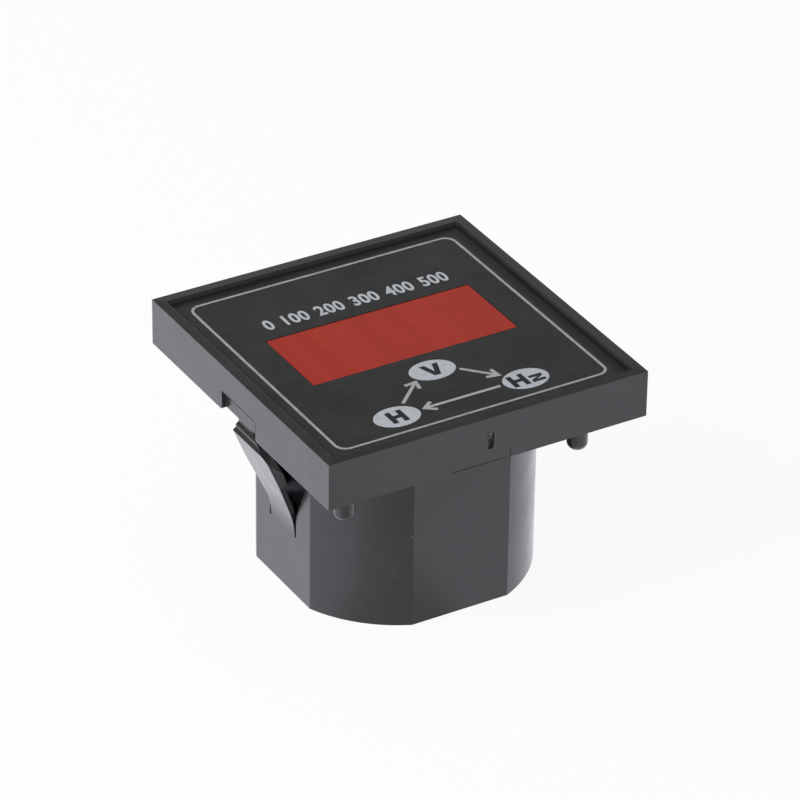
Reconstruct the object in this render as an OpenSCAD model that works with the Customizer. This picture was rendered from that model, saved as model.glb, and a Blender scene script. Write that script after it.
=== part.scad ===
// Digital panel meter: a square bezel on a round body with four flats, held in a panel
// cut-out by two snap tongues and four corner pegs that are moulded in one with the case.
// Frame: origin at the centre of the rear face, +Z towards the front, +X along the bezel's
// lower edge as the front is read, +Y towards its upper edge. All sizes are in millimetres.

/* [Overall] */
// Depth of the whole meter, from the rear face to the front rim
total_depth = 35; // [33:0.5:48]
// Side of the square bezel
bezel_w = 50; // [48:0.5:66]
// Thickness of the bezel, from the face that meets the panel to the front rim
bezel_t = 7.1; // [6.6:0.1:9]

/* [Case walls] */
// Thickness of the bezel's side walls, which show as the raised rim
rim_w = 1.5; // [1.2:0.1:2.4]
// Thickness of the bezel's floor, the wall that lies on the panel
bezel_floor_t = 1.8; // [1.4:0.1:2.6]
// Width of the ledge inside the rim that carries the front plate
ledge_w = 1.1; // [0.8:0.1:2]
// Thickness of the round body's side wall
body_wall = 1.6; // [1.2:0.1:1.95]
// Thickness of the rear wall
rear_wall_t = 2; // [1.2:0.1:2.8]

/* [Round body] */
// Diameter of the round body
body_d = 39.2; // [39:0.2:47.2]
// Distance across the body's opposite flats
body_flats = 36.1; // [35:0.1:38]

/* [Corner pegs] */
// Diameter of the four locating pegs behind the bezel's corners
peg_d = 3; // [2:0.1:3.6]
// Length of a peg, from the bezel's back to its tip
peg_len = 7.1; // [3:0.1:9]
// Distance between the pegs along the bezel's lower edge
peg_spacing_x = 37; // [35:0.1:40]
// Distance between the pegs along the bezel's side edges
peg_spacing_y = 35.7; // [35:0.1:40]
// Radius of the rounding on a peg's tip
peg_tip_r = 1.2; // [0.3:0.1:1.2]

/* [Snap tongues] */
// Width of a tongue's head
tongue_head_w = 9.35; // [7:0.05:11.4]
// Width of a tongue at its foot
tongue_foot_w = 6.7; // [5:0.1:7]
// Distance that the catching ridge stands out from the body's flat
tongue_reach = 5.3; // [3:0.1:5.6]
// Distance from the bezel's back down to the catching ridge
ridge_drop = 3.75; // [3.2:0.05:4.5]
// Angle between the tongue's outer face and the body's flat
tongue_lean = 23; // [18:1:28]
// Thickness of the springy strip below the head
tongue_t = 0.8; // [0.6:0.05:1.2]
// Thickness of the head, measured along the panel
head_t = 1.35; // [1.1:0.05:1.6]
// Depth of the head below the catching ridge
head_h = 5; // [3:0.1:6]
// Radius that blends the strip into the body's flat
foot_blend_r = 11; // [6:0.5:14]
// Number of catching steps above the ridge
catch_steps = 3; // [1:1:3]
// Height of one catching step
step_rise = 0.79; // [0.5:0.01:0.8]
// Width of one catching step
step_run = 0.47; // [0.3:0.01:0.6]
// Width of the slits on both sides of a tongue's foot
slit_w = 0.35; // [0.3:0.05:0.8]
// Greatest gap beside a tongue's head
head_gap = 1.7; // [0.8:0.1:2]
// Height of the notch that the head's mould leaves in the bezel's side
notch_h = 2.9; // [1:0.1:4]
// Depth of that notch
notch_depth = 0.7; // [0.3:0.1:1]
// Depth of the relief above each head, which keeps mould flash off the panel
relief_depth = 0.2; // [0.1:0.05:0.4]

/* [Front] */
// Depth of the front label below the rim
front_recess = 0.6; // [0.4:0.1:1.6]
// Thickness of the printed label
label_t = 0.25; // [0.15:0.05:0.5]
// Thickness of the front plate behind the label
plate_t = 1.5; // [1:0.1:2]
// Width of the display window
window_w = 32.5; // [31:0.5:34]
// Height of the display window
window_h = 13.5; // [12.5:0.5:14]
// Distance from the bezel's centre up to the window's centre
window_y = 1.45; // [0:0.05:1.5]
// Thickness of the window filter's flange
flange_t = 1; // [0.8:0.1:1.4]
// Width of that flange around the window
flange_w = 1.2; // [0.8:0.1:1.6]

/* [Display and boards] */
// Length of the digit module
display_w = 30.1; // [29:0.1:30.5]
// Width of the digit module
display_d = 14; // [13:0.1:14.4]
// Height of the digit module
display_h = 7.2; // [6:0.1:7.4]
// Height of one digit
digit_h = 9.1; // [8:0.1:9.6]
// Number of digits
digits = 4; // [3:1:4]
// Thickness of both circuit boards
board_t = 1.6; // [1.2:0.1:2]
// Diameter of the posts that carry the front board
post_d = 4.4; // [4:0.1:5]
// Shank diameter of the board screws
screw_d = 2; // [1.6:0.1:2.2]

/* [Rear terminals] */
// Width of the push-on terminal blades
blade_w = 6.3; // [4.8:0.1:6.3]
// Thickness of the blades
blade_t = 0.8; // [0.5:0.1:0.8]
// Distance between the two blades
blade_pitch = 12; // [11:0.5:12.5]
// Width of the pocket around the blades
pocket_w = 22; // [21:0.5:23]
// Height of that pocket
pocket_h = 9.5; // [9:0.1:9.6]
// Depth of that pocket
pocket_depth = 8.5; // [7:0.1:9.5]
// Thickness of the pocket's roof
pocket_roof_t = 1.8; // [1.4:0.1:2.2]

/* [Hidden] */
$fn = 96;

// Colours
case_black = [0.07, 0.07, 0.075];
label_black = [0.09, 0.09, 0.1];
filter_red = [0.75, 0.12, 0.08];
board_green = [0.1, 0.36, 0.18];
chip_black = [0.12, 0.12, 0.13];
digit_grey = [0.35, 0.35, 0.36];
tin = [0.78, 0.78, 0.76];

// Clearances
plate_gap = 0.1;        // front plate to the rim, all round
label_gap = 0.1;        // label's edge inside the plate's edge
window_gap = 0.1;       // filter to the edges of its opening
filter_sink = 0.05;     // filter's face below the label's face
display_gap = 0.15;     // digit module to the filter's back
board_gap = 0.3;        // circuit boards to the case and its posts
screw_gap = 0.05;       // screw shank to its pilot hole
blade_gap = 0.1;        // blade to the slot in the pocket's roof
cut = 1;                // how far a cutting shape runs past the face it cuts

// Heights of the main planes above the rear face
z_rim = total_depth;
z_back = z_rim - bezel_t;
z_tray = z_back + bezel_floor_t;
z_label = z_rim - front_recess;
z_plate_top = z_label - label_t;
z_plate = z_plate_top - plate_t;
z_flange = z_plate - flange_t;
z_digits = z_flange - display_gap - display_h;
z_front_board = z_digits - board_t;
z_roof = pocket_depth + pocket_roof_t;
board_lift = 1.2;
z_main_board = z_roof + board_lift;
z_main_top = z_main_board + board_t;

// Body section, outside and inside
body_r = body_d / 2;
flat_x = body_flats / 2;
inner_r = body_r - body_wall;
inner_flat = flat_x - body_wall;
rim_inner = bezel_w - 2 * rim_w;
ledge_inner = rim_inner - 2 * ledge_w;

// Posts for the front board stand on the diagonals and merge into the body's wall
post_sink = 0.2;
post_at = (inner_r - post_d / 2 + post_sink) * cos(45);
post_points = [for (sx = [-1, 1], sy = [-1, 1]) [sx * post_at, sy * post_at]];
screw_points = [[post_at, post_at], [-post_at, -post_at]];
pilot_depth = 6;
screw_head_d = 3.5;
screw_head_h = 1.3;
screw_grip = 4.4;
screw_slot_w = 0.5;
screw_slot_h = 0.6;

// Through-hole leads
lead_d = 0.6;
lead_hole_d = 0.9;
lead_tail = 0.8;        // length of a lead past the far side of its board
lift = 0.2;             // gap under a part that stands on its leads

// ---------------------------------------------------------------- shared shapes

// Round section with four flats
module body_section(r, flat) {
    intersection() {
        circle(r);
        square(2 * flat, center = true);
    }
}

// Upright square plate, centred on the axis, with its lower face at z
module square_slab(side, z, h) {
    translate([0, 0, z]) linear_extrude(h) square(side, center = true);
}

// Upright rectangular block with its lower face at z
module block(size_x, size_y, z, h, at = [0, 0]) {
    translate([at.x, at.y, z]) linear_extrude(h) square([size_x, size_y], center = true);
}

// Straight upright pin or rod
module rod(at, d, z, h) {
    translate([at.x, at.y, z]) cylinder(d = d, h = h);
}

// Circuit board that follows the inside of the body
module board_blank(z) {
    translate([0, 0, z]) linear_extrude(board_t)
        body_section(inner_r - board_gap, inner_flat - board_gap);
}

// Chip package with gull-wing leads along both long sides, face down when up is -1
module chip(at, z, size_x, size_y, h, span, leads, pitch, up = 1) {
    foot = 0.5;
    lead_w = pitch * 0.32;
    lead_t = 0.2;
    standoff = 0.1;
    translate([at.x, at.y, z]) mirror([0, 0, up < 0 ? 1 : 0]) {
        block(size_x, size_y, standoff, h - standoff);
        for (i = [0 : leads - 1]) {
            x = (i - (leads - 1) / 2) * pitch;
            block(lead_w, span, h / 2 - lead_t, lead_t, [x, 0]);
            for (side = [-1, 1]) {
                leg_y = side * (span / 2 - foot + lead_t / 2);
                block(lead_w, lead_t, 0, h / 2, [x, leg_y]);
                block(lead_w, foot, 0, lead_t, [x, side * (span - foot) / 2]);
            }
        }
    }
}

// Where the two leads of an axial part pass through the board
function axial_leads(at, pitch) = [[at.x - pitch / 2, at.y], [at.x + pitch / 2, at.y]];

// Axial part lying along X on the main board, its leads bent down through it
module axial_part(at, d, length, pitch) {
    bend_r = 0.9;
    axis_z = z_main_top + lift + d / 2;
    translate([at.x - length / 2, at.y, axis_z]) rotate([0, 90, 0]) cylinder(d = d, h = length);
    for (side = [0, 180]) translate([at.x, at.y, axis_z]) rotate(side) {
        translate([length / 2 - cut / 2, 0, 0]) rotate([0, 90, 0])
            cylinder(d = lead_d, h = (pitch - length + cut) / 2 - bend_r);
        translate([pitch / 2 - bend_r, 0, -bend_r]) rotate([90, 0, 0])
            rotate_extrude(angle = 90) translate([bend_r, 0]) circle(d = lead_d);
        drop = axis_z - bend_r - z_main_board + lead_tail;
        translate([pitch / 2, 0, -bend_r - drop]) cylinder(d = lead_d, h = drop);
    }
}

// ---------------------------------------------------------------- case

// Profile of a snap tongue, drawn as [distance out from the flat, height]
ridge_z = z_back - ridge_drop;
foot_z = ridge_z - tongue_reach / tan(tongue_lean) - foot_blend_r * tan(tongue_lean / 2);
head_low_z = ridge_z - head_h;
head_top_z = ridge_z + catch_steps * step_rise;
tread_rise = 0.37;      // slope of a catching step; the rest of its rise is upright

function outer_face_x(z) = tongue_reach - (ridge_z - z) * tan(tongue_lean);
function foot_arc(r, a) = [foot_blend_r - r * cos(a), foot_z + r * sin(a)];
strip_back_x = foot_arc(foot_blend_r + tongue_t, tongue_lean);

function strip_back(z) = strip_back_x.x + (z - strip_back_x.y) * tan(tongue_lean);
foot_angles = [0 : tongue_lean / 6 : tongue_lean + 0.01];

tongue_profile = concat(
    [for (a = foot_angles) foot_arc(foot_blend_r, a)],
    [[tongue_reach, ridge_z]],
    [for (i = [1 : catch_steps], top = [false, true])
        [tongue_reach - i * step_run, ridge_z + (i - 1) * step_rise + (top ? step_rise : tread_rise)]],
    [[tongue_reach - catch_steps * step_run - head_t, head_top_z],
     [tongue_reach - head_t - step_run, ridge_z],
     [outer_face_x(head_low_z) - head_t, head_low_z],
     [strip_back(head_low_z), head_low_z]],
    [for (a = foot_angles) foot_arc(foot_blend_r + tongue_t, tongue_lean - a)],
    [[-body_wall, foot_z], [-body_wall, foot_z - body_wall], [0, foot_z - body_wall]]
);

// Outline of a tongue seen from outside: narrow at the foot, flaring to the head
slit_top_z = foot_z + 3.6;
module tongue_outline() {
    polygon([
        [-tongue_foot_w / 2, foot_z - 2 * body_wall], [tongue_foot_w / 2, foot_z - 2 * body_wall],
        [tongue_foot_w / 2, slit_top_z], [tongue_head_w / 2, head_low_z],
        [tongue_head_w / 2, z_back], [-tongue_head_w / 2, z_back],
        [-tongue_head_w / 2, head_low_z], [-tongue_foot_w / 2, slit_top_z]
    ]);
}

// Window in the body's flat: two slits at the foot that open into a flared V
module tongue_window() {
    foot = tongue_foot_w / 2 + slit_w;
    head = tongue_head_w / 2 + head_gap;
    v_top_z = slit_top_z + (head - foot) * 2.2;
    polygon([
        [-foot, foot_z], [foot, foot_z], [foot, slit_top_z], [head, v_top_z],
        [head, z_back], [-head, z_back], [-head, v_top_z], [-foot, slit_top_z]
    ]);
}

// Snap tongue on the +X flat. Its head is stepped to catch panels of several
// thicknesses, and an oblique cut takes down one end of the steps.
module snap_tongue() {
    cut_start = tongue_head_w / 2 - 0.83;
    cut_tilt = 45;
    cut_turn = 152;
    difference() {
        intersection() {
            translate([flat_x, 0, 0]) rotate([90, 0, 0])
                linear_extrude(tongue_head_w + cut, center = true) polygon(tongue_profile);
            translate([inner_flat - cut, 0, 0]) rotate([90, 0, 90])
                linear_extrude(tongue_reach + body_wall + 2 * cut) tongue_outline();
        }
        translate([flat_x + tongue_reach, cut_start, ridge_z]) rotate([0, cut_tilt, cut_turn])
            translate([-bezel_w / 2, -bezel_w / 2, 0]) cube([bezel_w, bezel_w, head_h]);
    }
}

// Peg with a rounded tip, hanging from the bezel's floor
module corner_peg() {
    r = peg_d / 2;
    rotate_extrude() {
        translate([0, -peg_len + peg_tip_r]) square([r, peg_len - peg_tip_r + bezel_floor_t / 2]);
        translate([0, -peg_len]) square([r - peg_tip_r, peg_tip_r + cut / 10]);
        intersection() {
            translate([r - peg_tip_r, -peg_len + peg_tip_r]) circle(peg_tip_r);
            translate([r - peg_tip_r - cut / 10, -peg_len]) square(peg_tip_r + cut / 10);
        }
    }
}

// Pocket in the rear wall, with the two blades' slots in its roof
pocket_wall = 1.6;
module terminal_pocket() {
    block(pocket_w, pocket_h, -cut, pocket_depth + cut);
    for (side = [-1, 1])
        block(blade_t + 2 * blade_gap, blade_w + 2 * blade_gap, pocket_depth - cut,
              pocket_roof_t + 2 * cut, [side * blade_pitch / 2, 0]);
}

// Shallow gate mark in the bezel's lower side
module gate_mark() {
    mark_w = 1.1;
    mark_h = 2.7;
    mark_depth = 0.3;
    mark_low = z_back + 2.2;
    for (z = [mark_low + mark_w / 2, mark_low + mark_h - mark_w / 2])
        translate([0, -bezel_w / 2 + mark_depth, z])
            rotate([90, 0, 0]) cylinder(d = mark_w, h = mark_depth + cut);
    translate([-mark_w / 2, -bezel_w / 2 - cut, mark_low + mark_w / 2])
        cube([mark_w, mark_depth + cut, mark_h - mark_w]);
}

module case() {
    rib_w = 1.2;
    rib_l = 8;
    relief_side = 0.25;     // relief past each end of a head
    color(case_black) difference() {
        union() {
            difference() {
                union() {
                    square_slab(bezel_w, z_back, bezel_t);
                    linear_extrude(z_back + bezel_floor_t / 2) body_section(body_r, flat_x);
                    for (sx = [-1, 1], sy = [-1, 1])
                        translate([sx * peg_spacing_x / 2, sy * peg_spacing_y / 2, z_back]) corner_peg();
                }
                square_slab(rim_inner, z_plate, z_rim - z_plate + cut);
                square_slab(ledge_inner, z_tray, z_plate - z_tray + cut);
                translate([0, 0, rear_wall_t]) linear_extrude(z_rim)
                    body_section(inner_r, inner_flat);
                for (side = [0, 180]) rotate(side) {
                    translate([inner_flat - cut, 0, 0]) rotate([90, 0, 90])
                        linear_extrude(body_wall + 2 * cut) tongue_window();
                    translate([bezel_w / 2 - notch_depth, -tongue_head_w / 2, z_back - cut])
                        cube([notch_depth + cut, tongue_head_w, notch_h + cut]);
                    translate([flat_x, -tongue_head_w / 2 - relief_side, z_back - cut])
                        cube([bezel_w / 2 - flat_x, tongue_head_w + 2 * relief_side, relief_depth + cut]);
                }
                gate_mark();
            }
            for (side = [0, 180]) rotate(side) snap_tongue();
            for (p = post_points) rod(p, post_d, rear_wall_t / 2, z_front_board - rear_wall_t / 2);
            block(pocket_w + 2 * pocket_wall, pocket_h + 2 * pocket_wall, 0, z_roof);
            for (side = [-1, 1])
                block(rib_w, rib_l, z_roof - cut, board_lift + cut,
                      [side * (pocket_w / 2 + pocket_wall - rib_w / 2), 0]);
        }
        terminal_pocket();
        for (p = screw_points)
            rod(p, screw_d + 2 * screw_gap, z_front_board - pilot_depth, pilot_depth + cut);
    }
}

// ---------------------------------------------------------------- front

// Plate glued on the ledge inside the rim, with a frame behind it that locates the filter
module front_plate() {
    side = rim_inner - 2 * plate_gap;
    frame_w = 1;
    seat_w = window_w + 2 * (flange_w + window_gap);
    seat_h = window_h + 2 * (flange_w + window_gap);
    color(case_black) difference() {
        union() {
            square_slab(side, z_plate, plate_t);
            block(seat_w + 2 * frame_w, seat_h + 2 * frame_w, z_flange, flange_t + cut, [0, window_y]);
        }
        block(window_w, window_h, z_flange - cut, z_rim, [0, window_y]);
        block(seat_w, seat_h, z_flange - cut, flange_t + cut, [0, window_y]);
    }
}

module front_label() {
    side = rim_inner - 2 * (plate_gap + label_gap);
    color(label_black) difference() {
        square_slab(side, z_plate_top, label_t);
        block(window_w, window_h, z_plate_top - cut, label_t + 2 * cut, [0, window_y]);
    }
}

// Red pane that rises through the plate and the label, with a flange behind the plate
module window_filter() {
    pane_w = window_w - 2 * window_gap;
    pane_h = window_h - 2 * window_gap;
    color(filter_red) {
        block(pane_w, pane_h, z_flange, z_label - filter_sink - z_flange, [0, window_y]);
        block(window_w + 2 * flange_w, window_h + 2 * flange_w, z_flange, flange_t, [0, window_y]);
    }
}

// ---------------------------------------------------------------- digits

digit_pitch = display_w / digits;
slant = 8;
seg_w = 1.05;
seg_gap = 0.12;
seg_depth = 0.8;
digit_w = digit_h * 0.5;
dot_d = 1.1;

function slanted(p) = [p.x + p.y * tan(slant), p.y];

// One bar with pointed ends, from p to q
module segment(p, q) {
    d = (q - p) / norm(q - p);
    n = [-d.y, d.x] * seg_w / 2;
    a = p + d * seg_gap;
    b = q - d * seg_gap;
    tip = d * seg_w / 2;
    polygon([for (v = [a, a + tip + n, b - tip + n, b, b - tip - n, a + tip - n]) slanted(v)]);
}

// Seven bars and a point, centred on the origin
module digit_face() {
    x = (digit_w - seg_w) / 2;
    y = (digit_h - seg_w) / 2;
    corners = [[-x, -y], [x, -y], [x, 0], [-x, 0], [-x, y], [x, y]];
    for (bar = [[0, 1], [1, 2], [2, 5], [5, 4], [4, 3], [3, 0], [3, 2]])
        segment(corners[bar[0]], corners[bar[1]]);
    translate(slanted([x + seg_w + 0.4, -y])) circle(d = dot_d);
}

module all_digit_faces() {
    for (i = [0 : digits - 1])
        translate([(i - (digits - 1) / 2) * digit_pitch - 0.6, window_y]) digit_face();
}

module digit_housing() {
    color(digit_grey) difference() {
        block(display_w, display_d, z_digits, display_h, [0, window_y]);
        translate([0, 0, z_digits + display_h - seg_depth])
            linear_extrude(seg_depth + cut) all_digit_faces();
    }
}

module digit_segments() {
    color("whitesmoke") translate([0, 0, z_digits + display_h - seg_depth])
        linear_extrude(seg_depth) all_digit_faces();
}

digit_pin_pitch = 2.54;
digit_pin_rows = 10.16;
digit_pin_points = [for (i = [0 : 5], side = [-1, 1])
    [(i - 2.5) * digit_pin_pitch, window_y + side * digit_pin_rows / 2]];

module digit_pins() {
    pin_w = 0.5;
    color(tin) for (p = digit_pin_points)
        block(pin_w, pin_w, z_front_board - lead_tail, board_t + lead_tail, p);
}

// ---------------------------------------------------------------- front board

header_pitch = 2.54;
header_count = 6;
header_w = 2.5;
header_y = inner_flat - 3.05;
header_points = [for (i = [0 : header_count - 1])
    [(i - (header_count - 1) / 2) * header_pitch, header_y]];
pin_side = 0.64;

module front_board() {
    color(board_green) difference() {
        board_blank(z_front_board);
        for (p = concat(digit_pin_points, header_points))
            rod(p, 1, z_front_board - cut, board_t + 2 * cut);
        for (p = screw_points) rod(p, screw_d + 0.4, z_front_board - cut, board_t + 2 * cut);
    }
}

module board_screws() {
    color(tin) for (p = screw_points) translate([p.x, p.y, z_digits]) difference() {
        union() {
            cylinder(d = screw_head_d, h = screw_head_h);
            translate([0, 0, -board_t - screw_grip])
                cylinder(d = screw_d, h = board_t + screw_grip + screw_head_h / 2);
        }
        translate([0, 0, screw_head_h]) rotate(45)
            cube([screw_head_d + cut, screw_slot_w, 2 * screw_slot_h], center = true);
    }
}

module display_driver() {
    color(chip_black) chip([0, -9], z_front_board, 9.9, 3.9, 1.6, 6, 8, 1.27, -1);
}

module microcontroller() {
    color(chip_black) chip([0, window_y], z_front_board, 6.5, 4.4, 1.1, 6.4, 10, 0.65, -1);
}

module memory_chip() {
    color(chip_black) chip([11.2, 0], z_front_board, 4.9, 3.9, 1.6, 6, 4, 1.27, -1);
}

// Flat metal can with round ends, lying under the front board
module clock_crystal() {
    can_l = 10.5;
    can_w = 4.2;
    can_h = 3.4;
    rim = 0.3;
    at = [-12.3, 0];
    color("silver") {
        for (y = [-1, 1])
            rod([at.x, at.y + y * (can_l - can_w) / 2], can_w, z_front_board - can_h, can_h);
        block(can_w, can_l - can_w, z_front_board - can_h, can_h, at);
        block(can_w + 2 * rim, can_l + rim, z_front_board - 2 * rim, 2 * rim, at);
    }
}

// ---------------------------------------------------------------- between the boards

module header_spacer() {
    color(chip_black) difference() {
        block(header_count * header_pitch, header_w, z_main_top, z_front_board - z_main_top,
              [0, header_y]);
        for (p = header_points)
            block(pin_side, pin_side, z_main_top - cut, z_front_board - z_main_top + 2 * cut, p);
    }
}

module header_pins() {
    color("gold") for (p = header_points)
        block(pin_side, pin_side, z_main_board - lead_tail, z_digits - z_main_board + 2 * lead_tail, p);
}

// ---------------------------------------------------------------- main board

fusible_at = [-2, 6.5];
fusible_pitch = 12.5;
divider_rows = [[5, -5], [5, -8]];
divider_pitch = 10;
varistor_at = [13, 3];
radial_pitch = 5;
varistor_leads = [for (side = [-1, 1]) [varistor_at.x, varistor_at.y + side * radial_pitch / 2]];
regulator_at = [-3, -6];
regulator_leads = [for (i = [-1 : 1]) [regulator_at.x + i * 1.27, regulator_at.y]];
input_cap_at = [0.5, 10.6];
input_cap_d = 8;
input_cap_l = 12;
input_cap_reach = 2.7;   // how far its leads stand out before they bend up
input_cap_leads = [for (side = [-1, 1])
    [input_cap_at.x - input_cap_l / 2 - input_cap_reach, input_cap_at.y + side * 1.75]];
output_cap_at = [5, -11.2];
output_cap_leads = [for (side = [-1, 1]) [output_cap_at.x + side * 1.25, output_cap_at.y]];
inductor_at = [-4.6, -11.4];
inductor_leads = [for (side = [-1, 1]) [inductor_at.x + side * 2.5, inductor_at.y]];
leg_w = 1.2;
leg_y = 2.5;

module main_board() {
    color(board_green) difference() {
        board_blank(z_main_board);
        for (p = post_points) rod(p, post_d + 2 * board_gap, z_main_board - cut, board_t + 2 * cut);
        for (p = header_points) rod(p, 1, z_main_board - cut, board_t + 2 * cut);
        for (p = concat(axial_leads(fusible_at, fusible_pitch),
                        axial_leads(divider_rows[0], divider_pitch),
                        axial_leads(divider_rows[1], divider_pitch),
                        varistor_leads, regulator_leads, input_cap_leads,
                        output_cap_leads, inductor_leads))
            rod(p, lead_hole_d, z_main_board - cut, board_t + 2 * cut);
        for (sx = [-1, 1], sy = [-1, 1])
            block(blade_t + 2 * blade_gap, leg_w + 2 * blade_gap, z_main_board - cut,
                  board_t + 2 * cut, [sx * blade_pitch / 2, sy * leg_y]);
    }
}

module bridge_rectifier() {
    color(chip_black) chip([-10.5, 2], z_main_top, 4.7, 3.9, 2.6, 6.6, 2, 2.54);
}

module supply_chip() {
    color(chip_black) chip([-9.2, -5.2], z_main_top, 4.9, 3.9, 1.6, 6, 4, 1.27);
}

// Half-round package on three leads
module voltage_regulator() {
    body_h = 4.6;
    stand = 2;
    color(chip_black) {
        intersection() {
            rod(regulator_at, 4.6, z_main_top + stand, body_h);
            block(4.8, 3.6, z_main_top + stand, body_h, regulator_at + [0, 0.5]);
        }
        for (p = regulator_leads)
            block(0.45, 0.45, z_main_board - lead_tail, board_t + lead_tail + stand + 0.5, p);
    }
}

module fusible_resistor() {
    color("seagreen") axial_part(fusible_at, 3.4, 9, fusible_pitch);
}

module divider_resistors() {
    color("tan") for (at = divider_rows) axial_part(at, 2.3, 6.3, divider_pitch);
}

// Coated disc standing on its two leads
module varistor() {
    disc_d = 7;
    disc_t = 3.2;
    axis_z = z_main_top + lift + disc_d / 2;
    color("royalblue") {
        translate([varistor_at.x - disc_t / 2, varistor_at.y, axis_z])
            rotate([0, 90, 0]) cylinder(d = disc_d, h = disc_t);
        for (p = varistor_leads)
            rod(p, lead_d, z_main_board - lead_tail, axis_z - z_main_board + lead_tail);
    }
}

// Electrolytic can lying under the board, its leads bent up into it
module input_capacitor() {
    groove_d = input_cap_d - 0.8;
    bend_r = 0.9;
    axis_z = z_main_board - lift - input_cap_d / 2;
    end_x = input_cap_at.x - input_cap_l / 2;
    color("darkslateblue") {
        translate([end_x, input_cap_at.y, axis_z]) rotate([0, 90, 0]) {
            cylinder(d = input_cap_d, h = 1);
            translate([0, 0, 0.5]) cylinder(d = groove_d, h = 2);
            translate([0, 0, 1.8]) cylinder(d = input_cap_d, h = input_cap_l - 1.8);
        }
        for (p = input_cap_leads) {
            translate([p.x + bend_r, p.y, axis_z]) rotate([0, 90, 0])
                cylinder(d = lead_d, h = end_x - p.x - bend_r + cut / 2);
            translate([p.x + bend_r, p.y, axis_z + bend_r]) rotate([90, 0, 0])
                rotate([0, 0, 180]) rotate_extrude(angle = 90) translate([bend_r, 0]) circle(d = lead_d);
            translate([p.x, p.y, axis_z + bend_r])
                cylinder(d = lead_d, h = z_main_top + lead_tail - axis_z - bend_r);
        }
    }
}

// Small electrolytic can hanging under the board
module output_capacitor() {
    can_d = 6.3;
    can_h = 7;
    low_z = z_main_board - lift - can_h;
    color("darkslateblue") {
        rod(output_cap_at, can_d, low_z, can_h - 1.8);
        rod(output_cap_at, can_d - 0.7, low_z + 1, can_h - 1.5);
        rod(output_cap_at, can_d, low_z + can_h - 1, 1);
        for (p = output_cap_leads)
            rod(p, lead_d, low_z + can_h - 0.5, z_main_top + lead_tail - low_z - can_h + 0.5);
    }
}

// Ferrite spool and the winding on it, hanging under the board
inductor_d = 8;
inductor_h = 8;
spool_flange = 1.4;
hub_d = 4;
inductor_low_z = z_main_board - lift - inductor_h;

module inductor_core() {
    color("dimgray") {
        rod(inductor_at, inductor_d, inductor_low_z, spool_flange);
        rod(inductor_at, hub_d, inductor_low_z, inductor_h);
        rod(inductor_at, inductor_d, inductor_low_z + inductor_h - spool_flange, spool_flange);
        for (p = inductor_leads)
            rod(p, lead_d, inductor_low_z + inductor_h - 0.5, z_main_top + lead_tail - z_main_board + lift + 0.5);
    }
}

module inductor_coil() {
    color("peru") difference() {
        rod(inductor_at, inductor_d - 0.6, inductor_low_z + spool_flange, inductor_h - 2 * spool_flange);
        rod(inductor_at, hub_d, inductor_low_z, inductor_h);
    }
}

// ---------------------------------------------------------------- terminals

// Push-on blade with a bevelled tip, shoulders above the pocket's roof and two solder legs
module terminal_blade(side) {
    tip_z = 0.6;
    tip_bevel = 1;
    shoulder_w = 8.3;
    leg_top = z_main_top + lead_tail;
    hole_d = 1.8;
    hole_up = 3.9;
    half = blade_w / 2;
    color("goldenrod") translate([side * blade_pitch / 2, 0, 0]) difference() {
        rotate([90, 0, 90]) linear_extrude(blade_t, center = true) polygon([
            [-half + tip_bevel, tip_z], [half - tip_bevel, tip_z], [half, tip_z + 2 * tip_bevel],
            [half, z_roof], [shoulder_w / 2, z_roof], [shoulder_w / 2, z_main_board],
            [leg_y + leg_w / 2, z_main_board], [leg_y + leg_w / 2, leg_top],
            [leg_y - leg_w / 2, leg_top], [leg_y - leg_w / 2, z_main_board],
            [-leg_y + leg_w / 2, z_main_board], [-leg_y + leg_w / 2, leg_top],
            [-leg_y - leg_w / 2, leg_top], [-leg_y - leg_w / 2, z_main_board],
            [-shoulder_w / 2, z_main_board], [-shoulder_w / 2, z_roof],
            [-half, z_roof], [-half, tip_z + 2 * tip_bevel]
        ]);
        translate([0, 0, tip_z + hole_up]) rotate([0, 90, 0])
            cylinder(d = hole_d, h = blade_t + cut, center = true);
    }
}

module terminal_blade_left() { terminal_blade(-1); }
module terminal_blade_right() { terminal_blade(1); }

case();
front_plate();
front_label();
window_filter();
digit_housing();
digit_segments();
digit_pins();
front_board();
board_screws();
display_driver();
microcontroller();
memory_chip();
clock_crystal();
header_spacer();
header_pins();
main_board();
bridge_rectifier();
supply_chip();
voltage_regulator();
fusible_resistor();
divider_resistors();
varistor();
input_capacitor();
output_capacitor();
inductor_core();
inductor_coil();
terminal_blade_left();
terminal_blade_right();
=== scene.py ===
"""Looks of the digital panel meter: finishes, printing on the label, small marks, studio and camera.

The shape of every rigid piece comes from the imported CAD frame. Lengths below are in metres
unless a name ends in _mm. MM turns millimetres into metres.
"""

import math
import random

import bpy
from mathutils import Euler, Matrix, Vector


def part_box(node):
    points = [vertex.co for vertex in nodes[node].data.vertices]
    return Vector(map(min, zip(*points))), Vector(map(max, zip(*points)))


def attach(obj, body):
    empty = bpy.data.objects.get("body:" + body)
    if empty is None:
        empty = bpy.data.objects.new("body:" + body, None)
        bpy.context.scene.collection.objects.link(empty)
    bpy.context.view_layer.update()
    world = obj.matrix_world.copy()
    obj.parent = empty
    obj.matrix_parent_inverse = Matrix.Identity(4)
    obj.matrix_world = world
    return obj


MM = 0.001
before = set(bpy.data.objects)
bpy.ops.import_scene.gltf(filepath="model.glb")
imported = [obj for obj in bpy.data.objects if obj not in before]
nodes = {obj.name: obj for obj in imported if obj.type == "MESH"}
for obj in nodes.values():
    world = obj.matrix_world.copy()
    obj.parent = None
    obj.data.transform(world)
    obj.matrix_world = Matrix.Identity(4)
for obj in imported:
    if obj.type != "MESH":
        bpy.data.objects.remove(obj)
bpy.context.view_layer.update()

case_low, case_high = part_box("case")
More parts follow.
